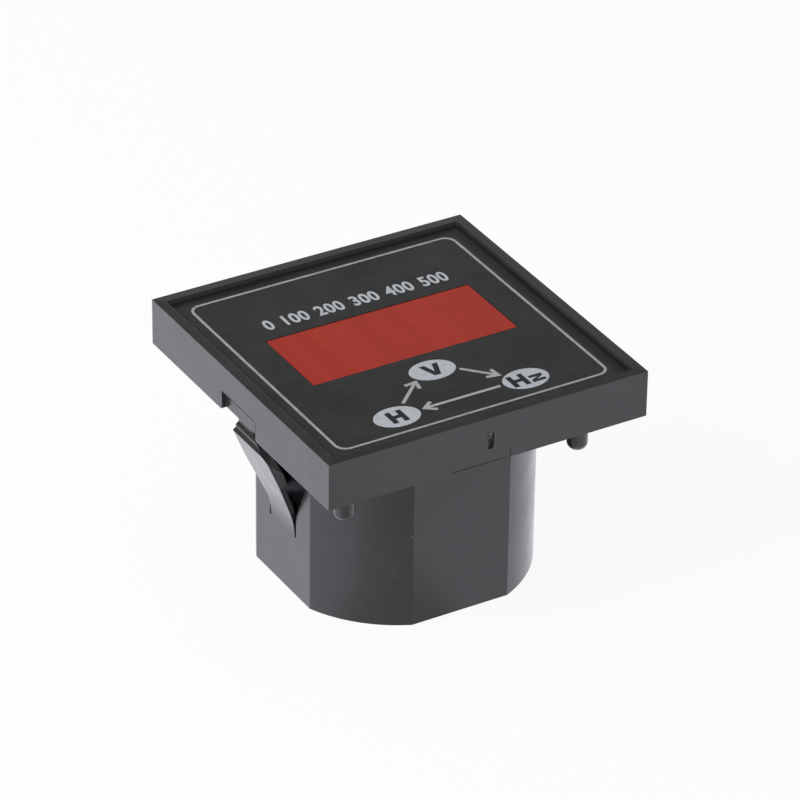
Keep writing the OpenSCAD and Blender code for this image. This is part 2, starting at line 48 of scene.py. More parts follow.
label_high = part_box("front_label")[1]

BEZEL_HALF = case_high.x
RIM_Z = case_high.z
LABEL_Z = label_high.z
BEZEL_THICKNESS = 7.1 * MM
BEZEL_BACK_Z = RIM_Z - BEZEL_THICKNESS
RIM_WIDTH = 1.5 * MM
RIM_INNER = BEZEL_HALF - RIM_WIDTH


# ---------------------------------------------------------------- node materials


class Finish:
    """A procedural material: its shader, and the helpers that build what feeds the shader."""

    def __init__(self, name):
        self.material = bpy.data.materials.new(name)
        self.material.use_nodes = True
        self.tree = self.material.node_tree
        self.shader = self.tree.nodes["Principled BSDF"]
        self.place = self.add("ShaderNodeTexCoord").outputs["Object"]

    def add(self, kind, **settings):
        made = self.tree.nodes.new(kind)
        for key, value in settings.items():
            setattr(made, key, value)
        return made

    def link(self, source, target):
        self.tree.links.new(source, target)

    def feed(self, socket, value):
        """Links an output, or writes a constant, to an input socket."""
        if isinstance(value, bpy.types.NodeSocket):
            self.link(value, socket)
        else:
            socket.default_value = value

    def set(self, **values):
        """Writes constants on the shader's own sockets."""
        for key, value in values.items():
            self.shader.inputs[key.replace("_", " ")].default_value = value

    def drive(self, socket, source):
        self.link(source, self.shader.inputs[socket])

    def noise(self, size_mm, detail=2.0, roughness=0.5, stretch=(1, 1, 1), distortion=0.0):
        """Noise whose features are about size_mm wide."""
        spread = self.add("ShaderNodeMapping")
        spread.inputs["Scale"].default_value = stretch
        self.link(self.place, spread.inputs["Vector"])
        made = self.add("ShaderNodeTexNoise")
        made.inputs["Scale"].default_value = 1 / (size_mm * MM)
        made.inputs["Detail"].default_value = detail
        made.inputs["Roughness"].default_value = roughness
        made.inputs["Distortion"].default_value = distortion
        self.link(spread.outputs["Vector"], made.inputs["Vector"])
        return made.outputs["Fac"]

    def specks(self, pitch_mm, size):
        """Sparse round specks: 1 inside a speck, 0 outside."""
        made = self.add("ShaderNodeTexVoronoi")
        made.inputs["Scale"].default_value = 1 / (pitch_mm * MM)
        self.link(self.place, made.inputs["Vector"])
        return self.span(made.outputs["Distance"], size, size * 0.5, 0, 1)

    def span(self, source, from_low, from_high, to_low, to_high, smooth=True):
        made = self.add("ShaderNodeMapRange")
        made.interpolation_type = "SMOOTHSTEP" if smooth else "LINEAR"
        self.link(source, made.inputs["Value"])
        made.inputs["From Min"].default_value = from_low
        made.inputs["From Max"].default_value = from_high
        made.inputs["To Min"].default_value = to_low
        made.inputs["To Max"].default_value = to_high
        return made.outputs["Result"]

    def math(self, operation, first, second=0.0):
        made = self.add("ShaderNodeMath", operation=operation)
        self.feed(made.inputs[0], first)
        self.feed(made.inputs[1], second)
        return made.outputs["Value"]

    def product(self, *factors):
        """Several factors multiplied together."""
        result = factors[0]
        for factor in factors[1:]:
            result = self.math("MULTIPLY", result, factor)
        return result

    def mix(self, factor, first, second):
        made = self.add("ShaderNodeMix", data_type="RGBA")
        self.feed(made.inputs[0], factor)
        self.feed(made.inputs[6], first)
        self.feed(made.inputs[7], second)
        return made.outputs[2]

    def axis(self, letter):
        """One object coordinate, in metres."""
        made = self.add("ShaderNodeSeparateXYZ")
        self.link(self.place, made.inputs["Vector"])
        return made.outputs[letter]

    def bump(self, height, depth_mm, strength=1.0, under=None):
        made = self.add("ShaderNodeBump")
        made.inputs["Strength"].default_value = strength
        made.inputs["Distance"].default_value = depth_mm * MM
        self.link(height, made.inputs["Height"])
        if under is not None:
            self.link(under, made.inputs["Normal"])
        return made.outputs["Normal"]


def grey(level):
    return (level, level, level, 1)


def case_plastic():
    """Glossy black moulding: rim slightly crowned, its edge rubbed, a little dust, and painted light on
    the walls of the recess.
    """
    f = Finish("case_plastic")
    x = f.axis("X")
    y = f.axis("Y")
    z = f.axis("Z")
    away = f.math("MAXIMUM", f.math("ABSOLUTE", x), f.math("ABSOLUTE", y))
    tone = f.span(f.noise(9, detail=4, roughness=0.6), 0.35, 0.65, 0, 1)
    base = f.mix(tone, (0.0190, 0.0185, 0.0210, 1), (0.0260, 0.0253, 0.0285, 1))
    dust = f.product(f.specks(2.3, 0.055), f.span(f.noise(7, detail=1), 0.5, 0.6, 0, 1))
    base = f.mix(f.product(dust, 0.5), base, (0.36, 0.36, 0.38, 1))
    # The rim's outer edge is rubbed a little paler
    rubbed_width = 0.16 * MM
    near_side = f.span(away, BEZEL_HALF - rubbed_width, BEZEL_HALF, 0, 1)
    near_rim = f.span(z, RIM_Z - rubbed_width, RIM_Z, 0, 1)
    patchy = f.span(f.noise(2.2, detail=3), 0.4, 0.6, 0.25, 1)
    rubbed = f.product(near_side, near_rim, patchy)
    base = f.mix(f.product(rubbed, 0.4), base, (0.10, 0.10, 0.105, 1))
    # Painted light: the walls of the recess are painted paler, the far one most
    far_wall = f.span(y, RIM_INNER - 0.3 * MM, RIM_INNER - 0.1 * MM, 0.15, 1)
    inside = f.span(away, RIM_INNER + 0.05 * MM, RIM_INNER + 0.15 * MM, 1, 0)
    low_wall = f.span(z, RIM_Z - 0.12 * MM, RIM_Z - 0.02 * MM, 1, 0)
    above = f.span(z, LABEL_Z - 0.4 * MM, LABEL_Z - 0.2 * MM, 0, 1)
    painted_wall_light = f.product(inside, low_wall, above, far_wall)
    base = f.mix(f.product(painted_wall_light, 0.85), base, (0.12, 0.12, 0.128, 1))
    f.drive("Base Color", base)
    smear = f.noise(5, detail=3, roughness=0.55, distortion=0.6)
    f.drive("Roughness", f.span(smear, 0.3, 0.7, 0.24, 0.36))
    crown = f.span(away, RIM_INNER, BEZEL_HALF, 1, 0, smooth=False)
    normal = f.bump(crown, 0.08)
    normal = f.bump(f.noise(11, detail=1), 0.05, 0.5, under=normal)
    f.drive("Normal", f.bump(f.noise(0.35, detail=2, roughness=0.6), 0.004, 0.6, under=normal))
    f.set(IOR=1.42, Coat_Weight=0.8, Coat_Roughness=0.16, Coat_IOR=1.45)
    return f.material


def label_film():
    """Semi-gloss black film, with fine grain, a little dust, and painted shade along its far and right
    edges.
    """
    f = Finish("label_film")
    tone = f.span(f.noise(6, detail=4, roughness=0.65), 0.35, 0.65, 0, 1)
    base = f.mix(tone, (0.026, 0.026, 0.027, 1), (0.034, 0.034, 0.035, 1))
    dust = f.product(f.specks(1.1, 0.05), f.span(f.noise(4, detail=1), 0.52, 0.62, 0, 1))
    base = f.mix(f.product(dust, 0.45), base, (0.20, 0.20, 0.21, 1))
    # Painted shade: outside the printed outline the film is painted a deeper black along its far and
    # right edges, where the rim shades it
    beyond = f.math("MAXIMUM", f.axis("X"), f.axis("Y"))
    margin_from = label_high.x - 1.9 * MM
    margin_full = label_high.x - 1.2 * MM
    painted_rim_shade = f.span(beyond, margin_from, margin_full, 0, 0.6)
    base = f.mix(painted_rim_shade, base, (0.008, 0.008, 0.010, 1))
    f.drive("Base Color", base)
    f.drive("Roughness", f.span(f.noise(7, detail=3), 0.3, 0.7, 0.20, 0.28))
    sheet = f.bump(f.noise(14, detail=1), 0.04, 0.5)
    f.drive("Normal", f.bump(f.noise(0.22, detail=2), 0.005, 0.7, under=sheet))
    f.set(IOR=1.47)
    return f.material


def printed_ink(name, low, high, roughness):
    """Screen-printed ink, slightly uneven."""
    f = Finish(name)
    mottle = f.noise(0.9, detail=4, roughness=0.7)
    f.drive("Base Color", f.mix(f.span(mottle, 0.32, 0.68, 0, 1), low, high))
    f.drive("Roughness", f.span(f.noise(2.5, detail=2), 0.3, 0.7, roughness - 0.06, roughness + 0.06))
    f.drive("Normal", f.bump(f.noise(0.16, detail=2), 0.004, 0.7))
    f.set(IOR=1.45)
    return f.material


def red_filter():
    """Red acrylic pane with faint streaks."""
    f = Finish("red_filter")
    bands = f.noise(2.4, detail=2, roughness=0.5, stretch=(1, 0.05, 0.05))
    cloud = f.noise(7, detail=3, roughness=0.6)
    streaks = f.span(bands, 0.35, 0.65, 0, 1)
    base = f.mix(streaks, (0.430, 0.026, 0.011, 1), (0.475, 0.032, 0.014, 1))
    base = f.mix(f.span(cloud, 0.3, 0.7, 0, 0.3), base, (0.39, 0.022, 0.011, 1))
    f.drive("Base Color", base)
    f.drive("Roughness", f.span(cloud, 0.3, 0.7, 0.30, 0.40))
    f.drive("Normal", f.bump(f.noise(0.3, detail=2), 0.005, 0.6))
    f.set(IOR=1.45, Subsurface_Weight=0.2, Subsurface_Scale=0.6 * MM)
    return f.material


def moulded_resin(name, low, high, roughness=0.5, grain_mm=0.18):
    """Plain filled resin, as on chips, housings and spacers."""
    f = Finish(name)
    mottle = f.span(f.noise(1.6, detail=4, roughness=0.65), 0.33, 0.67, 0, 1)
    f.drive("Base Color", f.mix(mottle, low, high))
    f.drive("Roughness", f.span(f.noise(0.8, detail=3), 0.3, 0.7, roughness - 0.07, roughness + 0.07))
    f.drive("Normal", f.bump(f.noise(grain_mm, detail=3, roughness=0.6), 0.008, 0.8))
    f.set(IOR=1.5)
    return f.material


def plated_metal(name, low, high, roughness=0.3, brush=(1, 1, 0.08)):
    """Drawn or rolled metal with a slight grain and patches of tarnish."""
    f = Finish(name)
    tarnish = f.noise(1.8, detail=4, roughness=0.6)
    f.drive("Base Color", f.mix(f.span(tarnish, 0.3, 0.7, 0, 1), low, high))
    f.drive("Roughness", f.span(f.noise(1.2, detail=3), 0.3, 0.7, roughness - 0.08, roughness + 0.10))
    f.drive("Normal", f.bump(f.noise(0.12, detail=2, stretch=brush), 0.003, 0.6))
    f.set(Metallic=1.0)
    return f.material


def circuit_board():
    """Grey-blue solder mask over copper tracks and a woven glass core."""
    f = Finish("circuit_board")
    weave = f.add("ShaderNodeTexWave", wave_type="BANDS", bands_direction="DIAGONAL")
    weave.inputs["Scale"].default_value = 900
    weave.inputs["Distortion"].default_value = 0.6
    f.link(f.place, weave.inputs["Vector"])
    tracks = f.add("ShaderNodeTexBrick", offset=0.5, offset_frequency=2)
    tracks.inputs["Scale"].default_value = 260
    tracks.inputs["Mortar Size"].default_value = 0.04
    tracks.inputs["Mortar Smooth"].default_value = 0.2
    f.link(f.place, tracks.inputs["Vector"])
    tone = f.span(f.noise(5, detail=2), 0.3, 0.7, 0, 1)
    mask = f.mix(tone, (0.15, 0.16, 0.19, 1), (0.19, 0.20, 0.24, 1))
    base = f.mix(f.product(tracks.outputs["Fac"], 0.7), mask, (0.24, 0.25, 0.29, 1))
    base = f.mix(f.product(weave.outputs["Fac"], 0.12), base, (0.22, 0.23, 0.26, 1))
    f.drive("Base Color", base)
    f.drive("Roughness", f.span(f.noise(0.9, detail=2), 0.3, 0.7, 0.26, 0.38))
    f.drive("Normal", f.bump(tracks.outputs["Fac"], 0.02, 0.5))
    f.set(IOR=1.5)
    return f.material


def ceramic_coat(name, low, high, roughness=0.35):
    """Dipped or sprayed coating on resistors, the varistor and capacitor sleeves."""
    f = Finish(name)
    mottle = f.span(f.noise(1.1, detail=4, roughness=0.6), 0.33, 0.67, 0, 1)
    f.drive("Base Color", f.mix(mottle, low, high))
    f.drive("Roughness", f.span(f.noise(0.7, detail=2), 0.3, 0.7, roughness - 0.06, roughness + 0.08))
    f.drive("Normal", f.bump(f.noise(0.5, detail=2), 0.02, 0.5))
    f.set(IOR=1.5)
    return f.material


def coil_wire():
    """Enamelled copper wire wound in level turns."""
    f = Finish("coil_wire")
    turns = f.add("ShaderNodeTexWave", wave_type="BANDS", bands_direction="Z", wave_profile="SIN")
    turns.inputs["Scale"].default_value = 1400
    turns.inputs["Distortion"].default_value = 0.25
    f.link(f.place, turns.inputs["Vector"])
    f.drive("Base Color", f.mix(turns.outputs["Fac"], (0.20, 0.055, 0.02, 1), (0.62, 0.24, 0.09, 1)))
    f.drive("Roughness", f.span(f.noise(0.6, detail=2), 0.3, 0.7, 0.22, 0.34))
    f.drive("Normal", f.bump(turns.outputs["Fac"], 0.12, 0.9))
    f.set(Metallic=0.8)
    return f.material


# Colours from low to high, roughness, and for some the size of the grain in mm
RESINS = {
    "torn_plastic": ((0.004, 0.004, 0.005, 1), (0.34, 0.34, 0.35, 1), 0.4, 0.2),
    # The dark matte below serves the mould witness line and the strips of painted shade
    "seam_and_painted_shade": ((0.006, 0.006, 0.008, 1), (0.014, 0.014, 0.018, 1), 0.7),
    "digit_shell": ((0.035, 0.035, 0.037, 1), (0.055, 0.055, 0.058, 1), 0.55),
    "segment_resin": ((0.42, 0.40, 0.38, 1), (0.52, 0.50, 0.48, 1), 0.35, 0.3),
    "chip_resin": ((0.018, 0.018, 0.019, 1), (0.030, 0.030, 0.031, 1), 0.55),
    "ferrite": ((0.045, 0.043, 0.042, 1), (0.075, 0.072, 0.068, 1), 0.62, 0.25),
}
METALS = {
    "tinned_metal": ((0.52, 0.52, 0.50, 1), (0.68, 0.67, 0.64, 1), 0.34),
    "screw_steel": ((0.40, 0.40, 0.39, 1), (0.58, 0.57, 0.54, 1), 0.30),
    "terminal_brass": ((0.66, 0.60, 0.50, 1), (0.80, 0.76, 0.68, 1), 0.30),
    "header_gold": ((0.70, 0.50, 0.20, 1), (0.86, 0.66, 0.30, 1), 0.28),
}
COATS = {
    "fusible_coat": ((0.10, 0.26, 0.17, 1), (0.14, 0.33, 0.22, 1), 0.45),
    "divider_coat": ((0.50, 0.36, 0.22, 1), (0.60, 0.45, 0.29, 1), 0.42),
    "varistor_coat": ((0.02, 0.09, 0.30, 1), (0.03, 0.13, 0.40, 1), 0.35),
    "capacitor_sleeve": ((0.018, 0.020, 0.060, 1), (0.028, 0.032, 0.085, 1), 0.28),
}
INKS = {
    "light_ink": ((0.50, 0.54, 0.58, 1), (0.58, 0.62, 0.66, 1), 0.42),
    "outline_ink": ((0.34, 0.35, 0.36, 1), (0.46, 0.47, 0.48, 1), 0.42),
    "arrow_ink": ((0.40, 0.405, 0.41, 1), (0.50, 0.505, 0.51, 1), 0.42),
    "dark_ink": ((0.010, 0.012, 0.017, 1), (0.018, 0.021, 0.028, 1), 0.36),
}

MATERIALS = {
    "case_plastic": case_plastic(),
    "label_film": label_film(),
    "red_filter": red_filter(),
    "circuit_board": circuit_board(),
    "coil_wire": coil_wire(),
}
for name, values in RESINS.items():
    MATERIALS[name] = moulded_resin(name, *values)
for name, values in METALS.items():
    MATERIALS[name] = plated_metal(name, *values)
for name, values in COATS.items():
    MATERIALS[name] = ceramic_coat(name, *values)
for name, values in INKS.items():
    MATERIALS[name] = printed_ink(name, *values)

FINISH_OF_NODE = {
    "case": "case_plastic",
    "front_plate": "case_plastic",
    "front_label": "label_film",
    "window_filter": "red_filter",
    "digit_housing": "digit_shell",
    "digit_segments": "segment_resin",
    "digit_pins": "tinned_metal",
    "front_board": "circuit_board",
    "board_screws": "screw_steel",
    "display_driver": "chip_resin",
    "microcontroller": "chip_resin",
    "memory_chip": "chip_resin",
    "clock_crystal": "tinned_metal",
    "header_spacer": "chip_resin",
    "header_pins": "header_gold",
    "main_board": "circuit_board",
    "bridge_rectifier": "chip_resin",
    "supply_chip": "chip_resin",
    "voltage_regulator": "chip_resin",
    "fusible_resistor": "fusible_coat",
    "divider_resistors": "divider_coat",
    "varistor": "varistor_coat",
    "input_capacitor": "capacitor_sleeve",
    "output_capacitor": "capacitor_sleeve",
    "inductor_core": "ferrite",
    "inductor_coil": "coil_wire",
    "terminal_blade_left": "terminal_brass",
    "terminal_blade_right": "terminal_brass",
}


def dress(obj, finish):
    obj.data.materials.clear()
    obj.data.materials.append(MATERIALS[finish])
    for polygon in obj.data.polygons:
        polygon.material_index = 0


def add_piece(name, mesh, finish):
    """Puts a mesh in the scene as a piece that rides on the meter's one body."""
    obj = bpy.data.objects.new(name, mesh)
    bpy.context.scene.collection.objects.link(obj)
    dress(obj, finish)
    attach(obj, "root")
    return obj


def mesh_from(name, vertices, faces):
    mesh = bpy.data.meshes.new(name)
    mesh.from_pydata(vertices, [], faces)
    mesh.update()
    return mesh


def soften(obj, width_mm, segments=2, angle_deg=32):
    """Rounds the edges of a CAD node with modifiers, and leaves its mesh as it is."""
    weld = obj.modifiers.new("weld", "WELD")
    weld.merge_threshold = 0.002 * MM
    flat = obj.modifiers.new("flat", "DECIMATE")
    flat.decimate_type = "DISSOLVE"
    flat.angle_limit = math.radians(0.6)
    round_off = obj.modifiers.new("round", "BEVEL")
    round_off.width = width_mm * MM
    round_off.segments = segments
    round_off.limit_method = "ANGLE"
    round_off.angle_limit = math.radians(angle_deg)
    round_off.use_clamp_overlap = True
    round_off.harden_normals = False
    even = obj.modifiers.new("even", "WEIGHTED_NORMAL")
    even.keep_sharp = True
    even.weight = 60


for name, finish in FINISH_OF_NODE.items():
    dress(nodes[name], finish)

soften(nodes["case"], 0.10)

# ---------------------------------------------------------------- printing on the label

INK_RISE = 0.03 * MM
INK_SINK = 0.02 * MM
LAYER_RISE = 0.02 * MM


def ink_piece(name, outlines, finish, level=0, ragged_mm=0.012, seed=1):
    """Closed flat shapes, each a list of (x, y) in mm, printed on the label.

    A shape given as a dict with an outer and an inner outline is a frame between the two.
    """
    chance = random.Random(seed)
    top = LABEL_Z + INK_RISE + level * LAYER_RISE
    foot = LABEL_Z - INK_SINK
    vertices = []
    faces = []

    def ring(points, z):
        start = len(vertices)
        for x, y in points:
            vertices.append((x * MM, y * MM, z))
        return [start + i for i in range(len(points))]

    def stray():
        return chance.uniform(-ragged_mm, ragged_mm)

    def rough(points):
        return [(x + stray(), y + stray()) for x, y in points]

    def wall(lower, upper):
        count = len(lower)
        for i in range(count):
            j = (i + 1) % count
            faces.append((lower[i], lower[j], upper[j], upper[i]))

    for outline in outlines:
        if isinstance(outline, dict):
            outer = rough(outline["outer"])
            inner = rough(outline["inner"])
            outer_top = ring(outer, top)
            inner_top = ring(inner, top)
            outer_foot = ring(outer, foot)
            inner_foot = ring(inner, foot)
            wall(outer_foot, outer_top)
            wall(inner_top, inner_foot)
            wall(outer_top, inner_top)
            wall(inner_foot, outer_foot)
        else:
            points = rough(outline)
            upper = ring(points, top)
            lower = ring(points, foot)
            faces.append(tuple(upper))
            faces.append(tuple(reversed(lower)))
            wall(lower, upper)
    mesh = mesh_from(name, vertices, faces)
    mesh.validate()
    add_piece(name, mesh, finish)


def rounded_square(middle, half_x, half_y, radius, steps=12, side_points=30):
    """Outline of an upright rounded rectangle, counter-clockwise, with points along its sides."""
    points = []
    corners = [(1, -1, -90), (1, 1, 0), (-1, 1, 90), (-1, -1, 180)]
    for index, (sx, sy, start) in enumerate(corners):
        centre_x = middle[0] + sx * (half_x - radius)
        centre_y = middle[1] + sy * (half_y - radius)
        for i in range(steps + 1):
            angle = math.radians(start + 90 * i / steps)
            points.append((centre_x + radius * math.cos(angle), centre_y + radius * math.sin(angle)))
        next_x, next_y, next_start = corners[(index + 1) % 4]
        end = points[-1]
        goal_angle = math.radians(next_start)
        goal_x = middle[0] + next_x * (half_x - radius) + radius * math.cos(goal_angle)
        goal_y = middle[1] + next_y * (half_y - radius) + radius * math.sin(goal_angle)
        for i in range(1, side_points):
            share = i / side_points
            points.append((end[0] + (goal_x - end[0]) * share, end[1] + (goal_y - end[1]) * share))
    return points


def ellipse(centre, semi_x, semi_y, steps=72):
    turn = [2 * math.pi * i / steps for i in range(steps)]
    return [(centre[0] + semi_x * math.cos(a), centre[1] + semi_y * math.sin(a)) for a in turn]


def arrow(tail, tip, width=0.5, barb=1.95, barb_width=0.56, angle_deg=33):
    """Open-headed arrow from tail to tip, as one outline."""
    length = math.dist(tail, tip)
    a = math.radians(angle_deg)
    half = width / 2
    edge = barb_width / 2
    back = (edge * math.cos(a) + half) / math.sin(a)
    inner_x = -edge * math.sin(a) - back * math.cos(a)
    outer_end = (-barb * math.cos(a) + edge * math.sin(a), barb * math.sin(a) + edge * math.cos(a))
    inner_end = (-barb * math.cos(a) - edge * math.sin(a), barb * math.sin(a) - edge * math.cos(a))
    upper = [(edge * 0.9, 0.0), outer_end, inner_end, (inner_x, half), (-length, half)]
    lower = [(x, -y) for x, y in reversed(upper[1:])]
    heading = math.atan2(tip[1] - tail[1], tip[0] - tail[0])
    cos_h = math.cos(heading)
    sin_h = math.sin(heading)
    around = reversed(upper + lower)
    return [(tip[0] + x * cos_h - y * sin_h, tip[1] + x * sin_h + y * cos_h) for x, y in around]


def letter_v(centre, width, height, stroke):
    half = width / 2
    up = height / 2
    foot = stroke * 0.62
    return [
        (centre[0] - foot / 1.1, centre[1] - up),
        (centre[0] + foot / 1.1, centre[1] - up),
        (centre[0] + half, centre[1] + up),
        (centre[0] + half - stroke, centre[1] + up),
        (centre[0], centre[1] - up + stroke * 1.05),
        (centre[0] - half + stroke, centre[1] + up),
        (centre[0] - half, centre[1] + up),
    ]


def letter_h(centre, width, height, stroke):
    x = width / 2
    y = height / 2
    bar = stroke * 0.45
    shape = [
        (-x, -y), (-x + stroke, -y), (-x + stroke, -bar), (x - stroke, -bar), (x - stroke, -y), (x, -y),
        (x, y), (x - stroke, y), (x - stroke, bar), (-x + stroke, bar), (-x + stroke, y), (-x, y),
    ]
    return [(centre[0] + px, centre[1] + py) for px, py in shape]


def letter_z(centre, width, height, stroke):
    x = width / 2
    y = height / 2
    bar = stroke * 0.78
    lean = stroke * 1.1
    shape = [
        (-x, -y), (x, -y), (x, -y + bar), (-x + lean, -y + bar), (x, y - bar), (x, y),
        (-x, y), (-x, y - bar), (x - lean, y - bar), (-x, -y + bar),
    ]
    return [(centre[0] + px, centre[1] + py) for px, py in shape]


OUTLINE_AT = (-0.2, -0.3)
OUTLINE_HALF_X = 21.1
OUTLINE_HALF_Y = 21.4
OUTLINE_RADIUS = 1.6
OUTLINE_WIDTH = 0.4
half_line = OUTLINE_WIDTH / 2
frame_line = {
    "outer": rounded_square(
        OUTLINE_AT, OUTLINE_HALF_X + half_line, OUTLINE_HALF_Y + half_line, OUTLINE_RADIUS + half_line
    ),
    "inner": rounded_square(
        OUTLINE_AT, OUTLINE_HALF_X - half_line, OUTLINE_HALF_Y - half_line, OUTLINE_RADIUS - half_line
    ),
}
ink_piece("label_outline", [frame_line], "outline_ink", seed=11)

VOLT_AT = (-0.08, -9.6)
HOUR_AT = (-10.42, -17.82)
HERTZ_AT = (9.9, -17.72)
OVAL_X = 3.45
OVAL_Y = 2.47
ovals = [ellipse(place, OVAL_X, OVAL_Y) for place in (VOLT_AT, HOUR_AT, HERTZ_AT)]
ink_piece("label_ovals", ovals, "light_ink", seed=12)

arrows = [
    arrow((-7.95, -15.2), (-3.55, -11.1)),
    arrow((3.35, -11.1), (7.3, -15.25)),
    arrow((5.9, -17.7), (-6.2, -17.7)),
]
ink_piece("label_arrows", arrows, "arrow_ink", seed=13)

letters = [
    letter_v((VOLT_AT[0] + 0.1, VOLT_AT[1]), 2.9, 2.85, 0.85),
    letter_h(HOUR_AT, 2.5, 2.9, 0.8),
    letter_h((HERTZ_AT[0] - 1.2, HERTZ_AT[1]), 2.5, 2.9, 0.76),
    letter_z((HERTZ_AT[0] + 1.5, HERTZ_AT[1] - 0.5), 2.05, 1.75, 0.72),
]
ink_piece("label_unit_marks", letters, "dark_ink", level=1, seed=14)


def typed_numbers(name, words, low, high, bold_mm, finish):
    """Plain numbers in one line that fill the box from low to high, in mm."""
    curve = bpy.data.curves.new(name, "FONT")
    curve.body = words
    curve.size = 1.0
    curve.space_word = 1.4
    curve.space_character = 1.08
    draft = bpy.data.objects.new(name + "_draft", curve)
    bpy.context.scene.collection.objects.link(draft)
    bpy.context.view_layer.update()
    flat = draft.dimensions.copy()
    scale_x = (high[0] - low[0]) / flat.x
    scale_y = (high[1] - low[1]) / flat.y
    curve.offset = bold_mm / ((scale_x + scale_y) / 2)
    bpy.context.view_layer.update()
    depsgraph = bpy.context.evaluated_depsgraph_get()
    mesh = bpy.data.meshes.new_from_object(draft.evaluated_get(depsgraph))
    bpy.data.objects.remove(draft)
    xs = [v.co.x for v in mesh.vertices]
    ys = [v.co.y for v in mesh.vertices]
    scale_x = (high[0] - low[0]) / (max(xs) - min(xs))
    scale_y = (high[1] - low[1]) / (max(ys) - min(ys))
    left = min(xs)
    foot = min(ys)
    for vertex in mesh.vertices:
        x = low[0] + (vertex.co.x - left) * scale_x
        y = low[1] + (vertex.co.y - foot) * scale_y
        vertex.co = Vector((x * MM, y * MM, LABEL_Z - INK_SINK))
    for polygon in mesh.polygons:
        polygon.use_smooth = False
    mesh.name = name
    obj = add_piece(name, mesh, finish)
    thick = obj.modifiers.new("thick", "SOLIDIFY")
    thick.thickness = INK_RISE + INK_SINK
    thick.offset = 1


NUMBERS = "0 100 200 300 400 500"
NUMBERS_LOW = (-14.45, 10.45)
NUMBERS_HIGH = (14.8, 13.1)
typed_numbers("label_numbers", NUMBERS, NUMBERS_LOW, NUMBERS_HIGH, 0.09, "light_ink")

# ---------------------------------------------------------------- small marks and painted shade on the case


def gate_stub():
    """Torn crumbs that the moulding gate left in the upper half of its recess."""
    chance = random.Random(5)
    half_width = 0.5 * MM
    low_z = BEZEL_BACK_Z + 3.4 * MM
    high_z = BEZEL_BACK_Z + 4.8 * MM
    rows = 13
    columns = 9
    jitter = 0.025 * MM
    floor_y = case_low.y + 0.32 * MM
    crest_y = case_low.y + 0.01 * MM
    vertices = []
    faces = []
    for row in range(rows + 1):
        up = row / rows
        for column in range(columns + 1):
            across = column / columns * 2 - 1
            z = low_z + (high_z - low_z) * up + chance.uniform(-jitter, jitter)
            x = across * half_width + chance.uniform(-jitter, jitter)
            dome = max(0.0, 1 - across ** 4) * max(0.0, 1 - (2 * up - 1) ** 6)
            tear = chance.uniform(0.1, 1.0)
            y = floor_y + (crest_y - floor_y) * dome * tear
            vertices.append((x, y, z))
    for row in range(rows):
        for column in range(columns):
            first = row * (columns + 1) + column
            faces.append((first, first + 1, first + columns + 2, first + columns + 1))
    mesh = mesh_from("gate_stub", vertices, faces)
    add_piece("gate_stub", mesh, "torn_plastic")


gate_stub()


def seam_and_shade_strip(name, start, end, across, width_mm, seed):
    """Fine dark strip from start to end, in mm. It draws the mould witness line and the strips of
    painted shade along edges and in the gate's slot.

    across is the direction of its width.
    """
    chance = random.Random(seed)
    steps = 14
    start = Vector(start)
    end = Vector(end)
    side = Vector(across) * width_mm / 2
    vertices = []
    for i in range(steps + 1):
        place = start.lerp(end, i / steps)
        taper = 0.5 if i in (0, steps) else 1.0
        vertices.append((place - side * chance.uniform(0.7, 1.15) * taper) * MM)
        vertices.append((place + side * chance.uniform(0.7, 1.15) * taper) * MM)
    faces = [(2 * i, 2 * i + 2, 2 * i + 3, 2 * i + 1) for i in range(steps)]
    mesh = mesh_from(name, vertices, faces)
    add_piece(name, mesh, "seam_and_painted_shade")


# The lines lie this far off the case's surface
SKIN_MM = 0.003
SLOT_DEPTH_MM = 0.3
NOTCH_HALF = 4.675
NOTCH_TOP = 30.8
front_y = case_low.y / MM - SKIN_MM
left_x = -BEZEL_HALF / MM - SKIN_MM
slot_y = front_y + SLOT_DEPTH_MM
back_z = BEZEL_BACK_Z / MM
edge_z = back_z + 0.14
top_z = NOTCH_TOP + 0.08
end_y = -NOTCH_HALF - 0.1
ALONG_X = (1, 0, 0)
ALONG_Y = (0, 1, 0)
ALONG_Z = (0, 0, 1)
# Each line: name, start, end, direction of its width, width in mm, seed
SEAM_AND_SHADE_STRIPS = [
    ("seam_witness", (3.2, front_y, back_z + 0.1), (3.2, front_y, back_z + 1.6), ALONG_X, 0.15, 31),
    # Painted shade: a matte black sheet on the floor of the gate's slot
    ("painted_shade_gate_slot", (0.12, slot_y, back_z + 2.25), (0.12, slot_y, back_z + 3.5), ALONG_X, 0.52, 30),
    # Painted shadow: dark strips under the bezel's lower edge and along the notch's top and near end
    ("painted_shade_lower_edge", (-6.4, front_y, edge_z), (2.9, front_y, edge_z), ALONG_Z, 0.15, 32),
    ("painted_shade_notch_top", (left_x, -NOTCH_HALF, top_z), (left_x, NOTCH_HALF, top_z), ALONG_Z, 0.16, 33),
    ("painted_shade_notch_end", (left_x, end_y, back_z + 0.2), (left_x, end_y, NOTCH_TOP), ALONG_Y, 0.15, 34),
]
for strip_entry in SEAM_AND_SHADE_STRIPS:
    seam_and_shade_strip(*strip_entry)

# ---------------------------------------------------------------- floor, light and camera


def tree_node(tree, kind, **settings):
    made = tree.nodes.new(kind)
    for key, value in settings.items():
        setattr(made, key, value)
    return made


def combine(tree, operation, first, second):
    """A math node on two values, each an output or a constant."""
    made = tree_node(tree, "ShaderNodeMath", operation=operation)
    for socket, value in zip(made.inputs, (first, second)):
        if isinstance(value, bpy.types.NodeSocket):
            tree.links.new(value, socket)
        else:
            socket.default_value = value
    return made.outputs["Value"]


